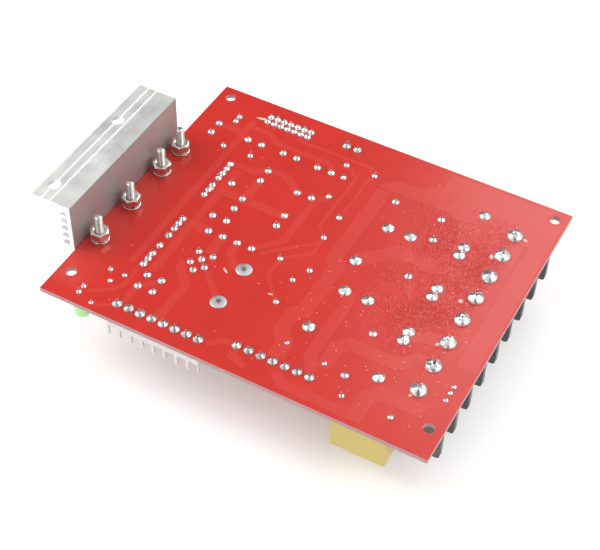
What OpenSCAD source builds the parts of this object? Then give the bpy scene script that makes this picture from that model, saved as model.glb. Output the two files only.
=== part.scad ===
// Stepper motor driver module, modelled as it lies on a bench with its solder side up.
// Places on the board are given in millimetres from the board's front left corner, and the
// module at() moves them to the part's frame, whose origin is the centre of the four
// mounting holes on the solder side. Parts under the board are drawn standing up and then
// mirrored down by under().

/* [Board] */
// Length of the board, left to right
board_l = 127; // [126.5:0.1:128]
// Width of the board, front to back
board_w = 108; // [107.5:0.1:110]
// Thickness of the board
board_t = 1.6; // [1.2:0.1:1.8]
// Distance between mounting holes, left to right
hole_span_x = 118.5; // [118:0.1:119]
// Distance between mounting holes, front to back
hole_span_y = 93.5; // [93:0.1:94]
// Distance from the front edge to the front mounting holes
hole_front = 10; // [9.5:0.1:10.5]
// Diameter of the mounting holes
hole_d = 3.5; // [3.2:0.1:3.7]

/* [Heatsink] */
// Front end of the heatsink bracket
sink_y0 = 18.2; // [18:0.1:19]
// Length of the heatsink bracket
sink_l = 58.8; // [57.5:0.1:59]
// Height of the flange's outer face above the board
sink_h = 16.8; // [14:0.1:20]
// Width of the flange, from the plate's inner face
flange_w = 13.6; // [12:0.1:16]
// Thickness of the upright plate and the flange
plate_t = 1.6; // [1.4:0.1:2]
// Thickness of the foot that lies under the board
foot_t = 2.5; // [2:0.1:3]
// Width of the foot under the board
foot_w = 16; // [15:0.1:17]
// Number of ribs on the back of the plate
ribs = 5; // [3:1:5]
// Diameter of the two flange holes
flange_hole_d = 4.1; // [3.4:0.1:4.4]
// Distance between the two flange holes
flange_hole_span = 34; // [32:0.5:36]
// Length of the M3 bolts under the head
bolt_l = 16; // [15:1:18]

/* [Tall parts] */
// Height of the bulk capacitors and the choke, on which the module lies
tall_h = 25; // [22:0.5:30]
// Height of the barrier terminal's dividers
barrier_h = 16.6; // [16.5:0.1:18]
// Height of the suppression capacitor
box_cap_h = 16.4; // [15:0.1:18]
// Distance from one terminal to the next
barrier_pitch = 10; // [10:0.1:10.1]
// Number of terminals
barrier_ways = 8; // [8:1:8]

/* [Hidden] */
$fn = 32;

origin_x = board_l / 2;
origin_y = hole_front + hole_span_y / 2;

// Footprints: centre x, centre y, turn in degrees
small_axials = [[59.25, 93, 0], [19.75, 81.25, 0], [56, 82.25, 90],
                [63.25, 65.25, 90], [61, 45.75, 0], [63.5, 34.75, 90]];
films = [[7.75, 87.5, 90], [22.75, 87.75, 0], [33.5, 75.25, 90], [49, 73.75, 0], [32.75, 60, 90]];
discs = [[23.75, 67, 0], [31, 51.5, 0], [21.25, 34.75, 90]];
small_cans = [[36, 87.75, 0], [49, 87.25, 0], [48, 60, 90], [33.5, 45, 0], [43.75, 45, 0]];
small_can_d = [8, 8, 8, 6.3, 6.3];
tall_cans = [[82.5, 74, 0], [83, 43.75, 0]];
long_axials = [[93, 67.5, 90], [94, 24, 90]];
wide_axial = [83.5, 85.75, 0];
signal_vias = [[74, 17.5], [87, 16], [16.5, 2.5]];
edge_vias = [[122.75, 21], [122.75, 24], [122.75, 26.5]];
posts = [[76.25, 56.5], [76.5, 26]];
small_trios = [[35.5, 35], [35.5, 30]];

// Distances between leads
axial_pitch = 10.16;
radial_pitch = 5.08;
tall_pitch = 7.7;
long_pitch = 17.78;
wide_pitch = 16;
diode_pitch = 16;
grid = 2.54;
connector_grid = 3.96;

// Rows that repeat
transistor_y = [25.8, 43.1, 60.75, 72.1];
transistor_bolt_x = 3.95;
transistor_lead_x = 21.25;
diode_x = 102.75;
diode_y = [for (i = [0:3]) 27 + i * 19.7];
barrier_x = 114.5;
barrier_y0 = 20.5;
barrier_y = [for (i = [0:barrier_ways - 1]) barrier_y0 + i * barrier_pitch];
choke_at = [48.75, 28.75];
choke_pitch = 15;
bridge_at = [27.25, 17.5];
trimmer_at = [16.5, 14.5];
led_at = [11, 5.5];
box_cap_at = [104.25, 8];
box_cap_pitch = 15.24;
eight_way_at = [37.25, 6];
seven_way_at = [73.75, 9.5];
two_way_at = [51.75, 101.5];
ribbon_at = [29, 100];
jumper_at = [12, 95];
controller_at = [40.25, 69.5];
driver_chips = [[26, 59.25], [26, 43.75]];

function pair(c, p) = [for (s = [-1, 1]) [c[0] + s * p / 2 * cos(c[2]), c[1] + s * p / 2 * sin(c[2])]];
function row(c, n, p) = [for (i = [0:n - 1]) [c[0] + (i - (n - 1) / 2) * p, c[1]]];
function trio(c) = [[c[0] - 2.5, c[1] + 1], [c[0], c[1] - 1.5], [c[0] + 2.5, c[1] + 1]];

// Lead places, from the footprints
small_axial_leads = [for (c = small_axials) each pair(c, axial_pitch)];
radial_leads = [for (c = concat(films, discs, small_cans)) each pair(c, radial_pitch)];
tall_leads = [for (c = tall_cans) each pair(c, tall_pitch)];
long_leads = [for (c = long_axials) each pair(c, long_pitch)];
wide_leads = pair(wide_axial, wide_pitch);
diode_leads = [for (y = diode_y) each pair([diode_x, y, 90], diode_pitch)];
transistor_leads = [for (y = transistor_y) for (i = [-1:1]) [transistor_lead_x, y + i * grid]];
trio_leads = [for (c = small_trios) each trio(c)];
bridge_leads = [for (sx = [-1, 1]) for (sy = [-1, 1])
                bridge_at + radial_pitch / 2 * [sx, sy]];
trimmer_leads = [for (d = [[-2.5, 2], [2.5, 2], [0, -2]]) trimmer_at + d];
led_leads = pair([led_at[0], led_at[1], 90], grid);
box_cap_leads = pair([box_cap_at[0], box_cap_at[1], 0], box_cap_pitch);
choke_leads = pair([choke_at[0], choke_at[1], 90], choke_pitch);
eight_way_pins = row(eight_way_at, 8, connector_grid);
seven_way_pins = row(seven_way_at, 7, connector_grid);
two_way_pins = row(two_way_at, 2, connector_grid);
ribbon_pins = [for (s = [-1, 1]) each row(ribbon_at + [0, s * grid / 2], 7, grid)];
jumper_pins = pair([jumper_at[0], jumper_at[1], 90], grid);
barrier_pins = [for (y = barrier_y) [barrier_x, y]];

// Wire sizes
wire_r = 0.35;
heavy_wire_r = 0.6;
choke_wire_r = 0.7;
square_pin = 0.64;
connector_pin = 1.14;
hole_clear = 0.15;

module at(x, y, z = 0) translate([x - origin_x, y - origin_y, z]) children();
module under(x, y, a = 0) at(x, y, -board_t) mirror([0, 0, 1]) rotate(a) children();
module box(l, w, h) translate([-l / 2, -w / 2, 0]) cube([l, w, h]);
module at_each(points) for (p = points) at(p[0], p[1]) children();

// ---------------------------------------------------------------- board and solder

module drill(points, r) at_each(points) translate([0, 0, -board_t - 1]) cylinder(h = board_t + 2, r = r);

module board() color([0.86, 0.24, 0.2]) difference() {
  at(0, 0, -board_t) cube([board_l, board_w, board_t]);
  for (sx = [-1, 1]) for (sy = [-1, 1])
    translate([sx * hole_span_x / 2, sy * hole_span_y / 2, -board_t - 1]) cylinder(h = board_t + 2, d = hole_d);
  drill([for (y = transistor_y) [transistor_bolt_x, y]], 1.65);
  drill(concat(small_axial_leads, radial_leads, trio_leads, led_leads, box_cap_leads, transistor_leads),
        wire_r + hole_clear);
  drill(concat(bridge_leads, trimmer_leads, long_leads, wide_leads), wire_r + hole_clear);
  drill(concat(tall_leads, diode_leads, posts), heavy_wire_r + hole_clear);
  drill(choke_leads, choke_wire_r + hole_clear);
  drill(concat(ribbon_pins, jumper_pins), 0.5);
  drill(concat(eight_way_pins, seven_way_pins, two_way_pins), 0.85);
  drill(barrier_pins, 0.9);
}

// A fillet of solder round a lead's clipped end
module joint(r, tip) {
  cylinder(h = 0.15, r = r);
  translate([0, 0, 0.15]) cylinder(h = r * 0.6, r1 = r, r2 = max(0.4, r * 0.45));
  cylinder(h = tip, r = max(0.35, r * 0.3));
}

module signal_solder_joints() color([0.78, 0.79, 0.8]) {
  at_each(radial_leads) joint(1.2, 1.4);
  at_each(small_axial_leads) joint(1.05, 1.5);
  at_each(transistor_leads) joint(1.15, 1.3);
  at_each(trio_leads) joint(1.1, 1.3);
  at_each(bridge_leads) joint(1.2, 1.2);
  at_each(trimmer_leads) joint(0.9, 1.2);
  at_each(led_leads) joint(0.95, 1.5);
  at_each(box_cap_leads) joint(0.95, 1.5);
  at_each(jumper_pins) joint(1.05, 1.6);
  at_each(ribbon_pins) joint(1.1, 1.6);
  at_each(signal_vias) joint(0.7, 0.4);
  at_each(edge_vias) joint(0.7, 0.4);
}

module power_solder_joints() color([0.75, 0.76, 0.78]) {
  at_each(barrier_pins) joint(2.5, 2.9);
  at_each(tall_leads) joint(1.9, 1.6);
  at_each(posts) joint(1.9, 1.8);
  at_each(diode_leads) joint(1.8, 0.9);
  at_each(choke_leads) joint(2.4, 0.7);
  at_each(concat(long_leads, wide_leads)) joint(1.2, 1.3);
  at_each(eight_way_pins) joint(1.65, 1.1);
  at_each(seven_way_pins) joint(1.55, 1.5);
  at_each(two_way_pins) joint(1.5, 1.8);
}

// ---------------------------------------------------------------- heatsink and transistors

plate_gap = 0.2;
pad_t = 0.3;
tab_t = 1.3;
tab_l = 15.2;
tab_w = 10;
body_l = 9.2;
body_t = 3.2;
bush_t = 1;
hole_to_end = 2.8;
rib_depth = 3;
rib_t = 1.1;
rib_step = 3;
foot_z = -board_t - foot_t;
tab_z = foot_z - pad_t - tab_t;
head_z = tab_z - bush_t;
groove_x = [-10.3, -7.4];
groove_d = 0.4;
flange_hole_y0 = sink_y0 + 6.6;

// Outline of the extrusion, drawn in x and z
module sink_outline() {
  translate([-plate_gap - plate_t, foot_z]) square([plate_t, sink_h - foot_z]);
  translate([-plate_gap - plate_t, foot_z]) square([foot_w + plate_t + plate_gap, foot_t]);
  translate([-plate_gap - flange_w, sink_h - plate_t]) square([flange_w, plate_t]);
  polygon([[-plate_gap - plate_t, sink_h - plate_t], [-plate_gap - plate_t, sink_h - plate_t - 1],
           [-plate_gap - plate_t - 6, sink_h - plate_t]]);
  for (i = [0:ribs - 1])
    translate([-plate_gap - plate_t - rib_depth, sink_h - plate_t - 3.4 - i * rib_step]) {
      translate([rib_t / 2, 0]) square([rib_depth + 0.1 - rib_t / 2, rib_t]);
      translate([rib_t / 2, rib_t / 2]) circle(d = rib_t);
    }
}

module heatsink_bracket() color([0.82, 0.82, 0.82]) difference() {
  at(0, sink_y0 + sink_l) rotate([90, 0, 0]) linear_extrude(sink_l) difference() {
    sink_outline();
    for (x = groove_x) translate([x, sink_h]) circle(r = groove_d);
  }
  for (i = [0, 1]) at(groove_x[0], flange_hole_y0 + i * flange_hole_span, sink_h - plate_t - 2)
    cylinder(h = plate_t + 4, d = flange_hole_d);
  for (y = transistor_y) at(transistor_bolt_x, y, foot_z - 1) cylinder(h = foot_t + 2, r = 2);
}

module insulating_pads() color([0.62, 0.64, 0.68]) for (y = transistor_y)
  at(transistor_bolt_x, y, foot_z - pad_t) difference() {
    translate([-hole_to_end - 0.5, -tab_w / 2 - 0.5, 0]) cube([tab_l + 0.3, tab_w + 1, pad_t]);
    translate([0, 0, -1]) cylinder(h = 3, r = 2);
  }

module transistor_tabs() color([0.72, 0.72, 0.73]) for (y = transistor_y) at(transistor_bolt_x, y, 0) {
  translate([0, 0, tab_z]) difference() {
    translate([-hole_to_end, -tab_w / 2, 0]) cube([tab_l, tab_w, tab_t]);
    translate([0, 0, -1]) cylinder(h = 4, r = 2);
  }
  for (i = [-1:1]) translate([tab_l - hole_to_end, i * grid - 0.35, tab_z - 1.3]) {
    cube([transistor_lead_x - transistor_bolt_x - tab_l + hole_to_end + 0.25, 0.7, 0.5]);
    translate([transistor_lead_x - transistor_bolt_x - tab_l + hole_to_end - 0.25, 0, 0])
      cube([0.5, 0.7, -tab_z + 1.3]);
  }
}

module transistor_bodies() color([0.1, 0.1, 0.11]) for (y = transistor_y)
  at(transistor_bolt_x, y, tab_z - body_t) difference() {
    translate([tab_l - hole_to_end - body_l, -tab_w / 2, 0]) cube([body_l, tab_w, body_t]);
    translate([tab_l - hole_to_end - body_l + 2, 0, -0.1]) cylinder(h = 0.4, d = 1.6);
  }

module insulating_bushes() color([0.85, 0.83, 0.78]) for (y = transistor_y)
  at(transistor_bolt_x, y, head_z) difference() {
    union() {
      cylinder(h = bush_t, r = 3);
      cylinder(h = bush_t + tab_t, r = 1.9);
    }
    translate([0, 0, -1]) cylinder(h = 5, r = 1.6);
  }

module clamp_bolts() color([0.75, 0.74, 0.7]) for (y = transistor_y) at(transistor_bolt_x, y, head_z) {
  translate([0, 0, -1.9]) difference() {
    cylinder(h = 1.9, d = 5.6);
    for (a = [0, 90]) rotate(a) translate([-1.4, -0.3, -0.1]) cube([2.8, 0.6, 1.2]);
  }
  cylinder(h = bolt_l - 0.4, r = 1.45);
  translate([0, 0, bolt_l - 0.4]) cylinder(h = 0.4, r1 = 1.45, r2 = 1.1);
}

washer_t = 0.5;
spring_t = 0.8;
nut_t = 2.4;
module ring(r, r_in, h) difference() {
  cylinder(h = h, r = r);
  translate([0, 0, -1]) cylinder(h = h + 2, r = r_in);
}
module flat_washers() color([0.78, 0.77, 0.74]) for (y = transistor_y)
  at(transistor_bolt_x, y) ring(2.95, 1.6, washer_t);
module spring_washers() color([0.7, 0.69, 0.66]) for (y = transistor_y)
  at(transistor_bolt_x, y, washer_t) difference() {
    ring(2.8, 1.55, spring_t);
    rotate(35) translate([1, -0.25, -1]) cube([3, 0.5, 3]);
  }
module hex_nuts() color([0.76, 0.75, 0.7]) for (i = [0:3])
  at(transistor_bolt_x, transistor_y[i], washer_t + spring_t) rotate(i * 17) difference() {
    intersection() {
      cylinder(h = nut_t, d = 6.35, $fn = 6);
      cylinder(h = nut_t, r1 = 4.6, r2 = 2.8);
    }
    translate([0, 0, -1]) cylinder(h = 5, r = 1.5);
  }

// ---------------------------------------------------------------- barrier terminal

barrier_l0 = 106;
barrier_l1 = 125.4;
barrier_floor = 7;
divider_t = 2;
screw_x = 117.75;
contact_t = 1;
clamp_t = 1;
thread_r = 1.95;
screw_l = 7.5;
screw_head_d = 6.8;
screw_head_h = 2.4;
loose_gap = 0.3;
barrier_depth = barrier_l1 - barrier_l0;
divider_round = 1;

module barrier_housing() color([0.13, 0.13, 0.14]) under(0, 0) difference() {
  union() {
    translate([barrier_l0, barrier_y0 - barrier_pitch / 2 - divider_t / 2, 0])
      cube([barrier_depth, barrier_ways * barrier_pitch + divider_t, barrier_floor]);
    translate([barrier_l0, barrier_y0 - barrier_pitch / 2 - divider_t / 2, barrier_floor - 0.5])
      cube([2, barrier_ways * barrier_pitch + divider_t, barrier_h - barrier_floor - 1.5]);
    for (i = [0:barrier_ways])
      translate([barrier_l0, barrier_y0 + (i - 0.5) * barrier_pitch + divider_t / 2, 0])
        rotate([90, 0, 0]) linear_extrude(divider_t) divider_outline();
  }
  for (y = barrier_y) {
    translate([screw_x, y, 1]) cylinder(h = barrier_floor, r = 2.3);
    translate([barrier_x - 0.75, y - 0.75, -1]) cube([1.5, 1.5, barrier_floor + 2]);
  }
}

module divider_outline() {
  square([barrier_depth, barrier_floor]);
  square([barrier_depth - divider_round, barrier_h]);
  square([barrier_depth, barrier_h - divider_round]);
  translate([barrier_depth - divider_round, barrier_h - divider_round]) circle(r = divider_round);
}

module barrier_contacts() color([0.8, 0.78, 0.72]) under(0, 0) for (y = barrier_y) {
  difference() {
    translate([109, y - 3.6, barrier_floor]) cube([15, 7.2, contact_t]);
    translate([screw_x, y, 0]) cylinder(h = 20, r = 2.05);
  }
  translate([barrier_x - 0.6, y - 0.6, -board_t]) cube([1.2, 1.2, board_t + barrier_floor]);
}

clamp_z = barrier_floor + contact_t + loose_gap;
module wire_clamp(k) color([0.78, 0.77, 0.72]) under(screw_x, barrier_y[k - 1]) translate([0, 0, clamp_z])
  difference() {
    box(7, 7, clamp_t);
    translate([0, 0, -1]) cylinder(h = 4, r = 2.05);
    for (s = [-1, 1]) translate([-4, s * 2.4 - 0.25, -0.1]) cube([8, 0.5, 0.4]);
  }

module terminal_screw(k) color([0.8, 0.8, 0.78]) under(screw_x, barrier_y[k - 1], k * 37)
  translate([0, 0, clamp_z + clamp_t + 0.1]) difference() {
    union() {
      translate([0, 0, -screw_l]) cylinder(h = screw_l + 0.2, r = thread_r);
      cylinder(h = screw_head_h - 0.6, d = screw_head_d);
      translate([0, 0, screw_head_h - 0.6]) cylinder(h = 0.6, d1 = screw_head_d, d2 = screw_head_d - 1.6);
    }
    for (a = [0, 90]) rotate(a) translate([-2, -0.4, screw_head_h - 1.3]) cube([4, 0.8, 2]);
  }

// ---------------------------------------------------------------- connectors and headers

vh_h = 9.4;
vh_front = 3.6;
vh_back = 4.4;
vh_base = 3;
vh_wall = 1;
comb_solid = 5.6;

// Top-entry housing: a base, an upright slotted wall on the lock side and low end walls
module vh_housing(n) {
  l = n * connector_grid;
  difference() {
    union() {
      translate([-l / 2, -vh_front, 0]) cube([l, vh_front + vh_back, vh_base]);
      translate([-l / 2, -vh_front, 0]) cube([l, vh_wall, vh_h]);
      translate([-l / 2, vh_back - vh_wall, 0]) cube([l, vh_wall, vh_base + 1.5]);
    }
    for (i = [0:n - 1]) translate([(i - (n - 1) / 2) * connector_grid, 0, 0]) {
      translate([-1.5, -vh_front - 1, comb_solid]) cube([3, vh_wall + 1.5, vh_h]);
      translate([-connector_pin / 2 - 0.1, -connector_pin / 2 - 0.1, -1])
        cube([connector_pin + 0.2, connector_pin + 0.2, 6]);
    }
  }
}

module eight_way_connector() color([0.93, 0.92, 0.9])
  under(eight_way_at[0], eight_way_at[1]) vh_housing(8);
module seven_way_connector() color([0.93, 0.92, 0.9])
  under(seven_way_at[0], seven_way_at[1]) mirror([0, 1, 0]) vh_housing(7);
module two_way_connector() color([0.93, 0.92, 0.9])
  under(two_way_at[0], two_way_at[1]) mirror([0, 1, 0]) vh_housing(2);

module connector_pins() color([0.8, 0.8, 0.78])
  for (p = concat(eight_way_pins, seven_way_pins, two_way_pins)) under(p[0], p[1])
    translate([0, 0, -board_t]) box(connector_pin, connector_pin, board_t + vh_h - 0.8);

shroud_l = 25.4;
shroud_w = 8.9;
shroud_h = 9;
module ribbon_header_shroud() color([0.15, 0.15, 0.16]) under(ribbon_at[0], ribbon_at[1]) difference() {
  box(shroud_l, shroud_w, shroud_h);
  translate([0, 0, 2.4]) box(shroud_l - 2.2, shroud_w - 2.2, shroud_h);
  translate([0, -shroud_w / 2, 2.4]) box(4.6, 4, shroud_h);
  for (i = [-3:3]) for (s = [-1, 1]) translate([i * grid, s * grid / 2, -1])
    box(square_pin + 0.1, square_pin + 0.1, 5);
}
module jumper_header_base() color([0.12, 0.12, 0.13]) under(jumper_at[0], jumper_at[1]) difference() {
  box(grid, 2 * grid, grid);
  for (s = [-1, 1]) translate([0, s * grid / 2, -1]) box(square_pin + 0.1, square_pin + 0.1, 5);
}
module header_pins() color([0.85, 0.75, 0.45]) {
  for (p = ribbon_pins) under(p[0], p[1])
    translate([0, 0, -board_t]) box(square_pin, square_pin, board_t + 8);
  for (p = jumper_pins) under(p[0], p[1])
    translate([0, 0, -board_t]) box(square_pin, square_pin, board_t + 8.5);
}

// ---------------------------------------------------------------- capacitors

tall_d = 16;
seal_h = 1.5;
sleeve_t = 0.3;
small_can_h = 12;
lift = 0.4;

// An aluminium can with three relief grooves pressed in its end
module can(d, h) difference() {
  cylinder(h = h, d = d);
  for (a = [0, 60, 120]) rotate(a) translate([-d * 0.32, -0.2, h - 0.3]) cube([d * 0.64, 0.4, 1]);
}
module bulk_capacitor_cans() color([0.8, 0.8, 0.82]) for (c = tall_cans) under(c[0], c[1])
  translate([0, 0, seal_h]) can(tall_d - 2 * sleeve_t, tall_h - seal_h - 0.2);
module bulk_capacitor_sleeves() color([0.12, 0.14, 0.2]) for (c = tall_cans) under(c[0], c[1]) difference() {
  translate([0, 0, 0.5]) cylinder(h = tall_h - 0.5, d = tall_d);
  translate([0, 0, -1]) cylinder(h = tall_h + 0.8, d = tall_d - 2 * sleeve_t);
  cylinder(h = tall_h + 1, d = tall_d - 3);
}
module bulk_capacitor_seals() color([0.2, 0.19, 0.18]) for (c = tall_cans) under(c[0], c[1]) difference() {
  cylinder(h = seal_h, d = tall_d - 2 * sleeve_t);
  for (s = [-1, 1]) translate([s * tall_pitch / 2, 0, -1]) cylinder(h = 4, r = heavy_wire_r + 0.05);
}
module small_capacitor_sleeves() color([0.13, 0.16, 0.24])
  for (i = [0:len(small_cans) - 1]) under(small_cans[i][0], small_cans[i][1])
    translate([0, 0, 1 + lift]) can(small_can_d[i], small_can_h - 1);
module small_capacitor_seals() color([0.2, 0.19, 0.18])
  for (i = [0:len(small_cans) - 1]) under(small_cans[i][0], small_cans[i][1], small_cans[i][2])
    translate([0, 0, lift]) difference() {
      cylinder(h = 1, d = small_can_d[i] - 0.6);
      for (s = [-1, 1]) translate([s * radial_pitch / 2, 0, -1]) cylinder(h = 4, r = wire_r + 0.05);
    }

// A moulded box on two leads, with its long upper edges cut back
module film_box(l, w, h, cut) translate([-l / 2, 0, 0]) rotate([90, 0, 90]) linear_extrude(l)
  polygon([[-w / 2, 0], [w / 2, 0], [w / 2, h - cut], [w / 2 - cut, h], [-w / 2 + cut, h], [-w / 2, h - cut]]);
module film_capacitors() color([0.75, 0.25, 0.15]) for (c = films) under(c[0], c[1], c[2])
  translate([0, 0, lift]) film_box(7.2, 3, 7, 0.3);
module disc_capacitors() color([0.2, 0.4, 0.75]) for (c = discs) under(c[0], c[1], c[2])
  translate([0, 1.2, 3.6]) rotate([90, 0, 0]) intersection() {
    cylinder(h = 2.4, r = 3.3);
    translate([0, 0, 1.2]) sphere(r = 3.45);
  }
module suppression_capacitor() color([0.93, 0.8, 0.2]) under(box_cap_at[0], box_cap_at[1])
  translate([0, 0, lift]) film_box(17.6, 8.5, box_cap_h - lift, 0.4);

// ---------------------------------------------------------------- axial parts

axial_r = 1.2;
long_r = 2;
diode_r = 2.65;
module small_resistors() color([0.55, 0.72, 0.82]) for (c = small_axials) under(c[0], c[1], c[2])
  translate([0, 0, axial_r + 0.2]) rotate([0, 90, 0]) {
    translate([0, 0, -3.2]) cylinder(h = 6.4, r = axial_r * 0.85);
    for (s = [-1, 1]) translate([0, 0, s * 2.35 - 0.85]) cylinder(h = 1.7, r = axial_r);
  }
module power_resistors() color([0.5, 0.52, 0.5]) for (c = concat(long_axials, [wide_axial]))
  under(c[0], c[1], c[2]) translate([0, 0, long_r + 1]) rotate([0, 90, 0]) {
    translate([0, 0, -5.5]) cylinder(h = 11, r = long_r * 0.9);
    for (s = [-1, 1]) translate([0, 0, s * 4.5 - 1]) cylinder(h = 2, r = long_r);
  }
module power_diodes() color([0.1, 0.1, 0.1]) for (y = diode_y) under(diode_x, y, 90)
  translate([0, 0, diode_r + 1]) rotate([0, 90, 0]) translate([0, 0, -4.75]) cylinder(h = 9.5, r = diode_r);

// Two bent leads of a lying part: out of the body's ends, then down through the board
module bent_leads(pitch, body_half, z, r) for (s = [0, 1]) mirror([s, 0, 0]) {
  translate([body_half, 0, z]) rotate([0, 90, 0]) cylinder(h = pitch / 2 - body_half, r = r);
  translate([pitch / 2, 0, z]) sphere(r = r);
  translate([pitch / 2, 0, -board_t]) cylinder(h = z + board_t, r = r);
}
module straight_leads(points, r, top) for (p = points) under(p[0], p[1])
  translate([0, 0, -board_t]) cylinder(h = board_t + top, r = r);

module component_leads() color([0.8, 0.8, 0.8]) {
  for (c = small_axials) under(c[0], c[1], c[2]) bent_leads(axial_pitch, 3.2, axial_r + 0.2, wire_r);
  for (c = long_axials) under(c[0], c[1], c[2]) bent_leads(long_pitch, 5.5, long_r + 1, wire_r);
  under(wide_axial[0], wide_axial[1], wide_axial[2]) bent_leads(wide_pitch, 5.5, long_r + 1, wire_r);
  for (y = diode_y) under(diode_x, y, 90) bent_leads(diode_pitch, 4.75, diode_r + 1, heavy_wire_r);
  straight_leads([for (c = concat(films, discs)) each pair(c, radial_pitch)], wire_r, lift);
  straight_leads([for (c = small_cans) each pair(c, radial_pitch)], wire_r, 1 + lift);
  straight_leads(box_cap_leads, wire_r, lift);
  straight_leads(tall_leads, heavy_wire_r, seal_h);
  straight_leads(concat(bridge_leads, trio_leads), wire_r, 2);
  straight_leads(trimmer_leads, wire_r, 0.6);
  straight_leads(led_leads, 0.25, 2.4);
}

// ---------------------------------------------------------------- other small parts

module bridge_rectifier() color([0.12, 0.12, 0.12]) under(bridge_at[0], bridge_at[1]) translate([0, 0, 2])
  difference() {
    cylinder(h = 5, d = 9);
    translate([3.6, -5, -1]) cube([5, 10, 8]);
  }
module small_transistors() color([0.1, 0.1, 0.1]) for (c = small_trios) under(c[0], c[1]) translate([0, 0, 2])
  difference() {
    cylinder(h = 4.6, r = 2.4);
    translate([-3, 1.3, -1]) cube([6, 3, 7]);
  }

trimmer_h = 4.2;
module trimmer_body() color([0.2, 0.35, 0.65]) under(trimmer_at[0], trimmer_at[1])
  translate([0, 0, 0.6]) difference() {
    box(6.6, 6.6, trimmer_h);
    translate([0, 0, 1.4]) cylinder(h = trimmer_h, r = 2.6);
  }
module trimmer_rotor() color([0.93, 0.92, 0.88]) under(trimmer_at[0], trimmer_at[1], 30)
  translate([0, 0, 2.3]) difference() {
    cylinder(h = trimmer_h - 1.5, r = 2.3);
    for (a = [0, 90]) rotate(a) translate([-1.6, -0.3, trimmer_h - 2.6]) cube([3.2, 0.6, 3]);
  }

led_h = 7.8;
led_lean = 0.6;
module indicator_led() color([0.75, 0.93, 0.7]) under(led_at[0] - led_lean, led_at[1]) translate([0, 0, 2.4]) {
  cylinder(h = 1, d = 5.8);
  cylinder(h = led_h - 2.5, d = 5);
  translate([0, 0, led_h - 2.5]) sphere(d = 5);
}

choke_d = 23;
choke_hole = 10;
choke_w = 9;
turn_r = 0.7;
winding_out = choke_d / 2 - turn_r;
winding_in = choke_hole / 2;
choke_z = tall_h - winding_out - 2 * turn_r;
module choke_core() color([0.25, 0.45, 0.3]) under(choke_at[0], choke_at[1]) translate([0, 0, choke_z])
  rotate([0, 90, 0]) translate([0, 0, -choke_w / 2]) ring(winding_out, winding_in, choke_w);

// The winding as one close layer round the core, and its two ends down through the board
module choke_winding() color([0.72, 0.4, 0.2]) {
  under(choke_at[0], choke_at[1]) translate([0, 0, choke_z]) rotate([0, 90, 0]) difference() {
    translate([0, 0, -choke_w / 2 - 2 * turn_r])
      cylinder(h = choke_w + 4 * turn_r, r = winding_out + 2 * turn_r);
    translate([0, 0, -choke_w / 2]) ring(winding_out, winding_in, choke_w);
    translate([0, 0, -choke_w]) cylinder(h = 2 * choke_w, r = winding_in - 2 * turn_r);
  }
  for (p = choke_leads) under(p[0], p[1])
    translate([0, 0, -board_t]) cylinder(h = board_t + 4, r = choke_wire_r);
}

module solder_posts() color([0.82, 0.7, 0.4]) for (p = posts) under(p[0], p[1]) {
  translate([0, 0, -board_t]) cylinder(h = board_t, r = heavy_wire_r);
  cylinder(h = 1, r = 1.8);
  cylinder(h = 5, r = 1);
  translate([0, 0, 4.4]) cylinder(h = 0.8, r = 1.4);
}

// A gull-wing chip: body and two rows of bent leads
module chip(l, w, n, span) {
  translate([0, 0, 0.2]) difference() {
    box(l, w, 1.9);
    translate([-l / 2 + 1, -w / 2 + 1, 1.8]) cylinder(h = 1, d = 0.8);
  }
  for (i = [0:n - 1]) for (s = [0, 1]) mirror([0, s, 0]) translate([(i - (n - 1) / 2) * 1.27 - 0.2, 0, 0]) {
    translate([0, w / 2, 0.9]) cube([0.4, 0.7, 0.2]);
    translate([0, w / 2 + 0.5, 0]) cube([0.4, 0.2, 1.1]);
    translate([0, w / 2 + 0.5, 0]) cube([0.4, span / 2 - w / 2 - 0.5, 0.2]);
  }
}
module controller_chip() color([0.11, 0.11, 0.12])
  under(controller_at[0], controller_at[1], 90) chip(12.8, 7.5, 10, 10.3);
module gate_driver_chips() color([0.11, 0.11, 0.12]) for (c = driver_chips) under(c[0], c[1], 90)
  chip(4.9, 3.9, 4, 6);

// ---------------------------------------------------------------- drawing

board();
signal_solder_joints();
power_solder_joints();
heatsink_bracket();
insulating_pads();
insulating_bushes();
transistor_tabs();
transistor_bodies();
clamp_bolts();
flat_washers();
spring_washers();
hex_nuts();
barrier_housing();
barrier_contacts();
terminal_screw(1);  // terminal_screw_1
terminal_screw(2);  // terminal_screw_2
terminal_screw(3);  // terminal_screw_3
terminal_screw(4);  // terminal_screw_4
terminal_screw(5);  // terminal_screw_5
terminal_screw(6);  // terminal_screw_6
terminal_screw(7);  // terminal_screw_7
terminal_screw(8);  // terminal_screw_8
wire_clamp(1);  // wire_clamp_1
wire_clamp(2);  // wire_clamp_2
wire_clamp(3);  // wire_clamp_3
wire_clamp(4);  // wire_clamp_4
wire_clamp(5);  // wire_clamp_5
wire_clamp(6);  // wire_clamp_6
wire_clamp(7);  // wire_clamp_7
wire_clamp(8);  // wire_clamp_8
eight_way_connector();
seven_way_connector();
two_way_connector();
connector_pins();
ribbon_header_shroud();
jumper_header_base();
header_pins();
bulk_capacitor_cans();
bulk_capacitor_sleeves();
bulk_capacitor_seals();
small_capacitor_sleeves();
small_capacitor_seals();
film_capacitors();
disc_capacitors();
suppression_capacitor();
power_diodes();
power_resistors();
small_resistors();
bridge_rectifier();
small_transistors();
trimmer_body();
trimmer_rotor();
indicator_led();
choke_core();
choke_winding();
solder_posts();
controller_chip();
gate_driver_chips();
component_leads();
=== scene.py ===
import math
import random

import bmesh
import bpy
from mathutils import Matrix, Vector, noise


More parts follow.
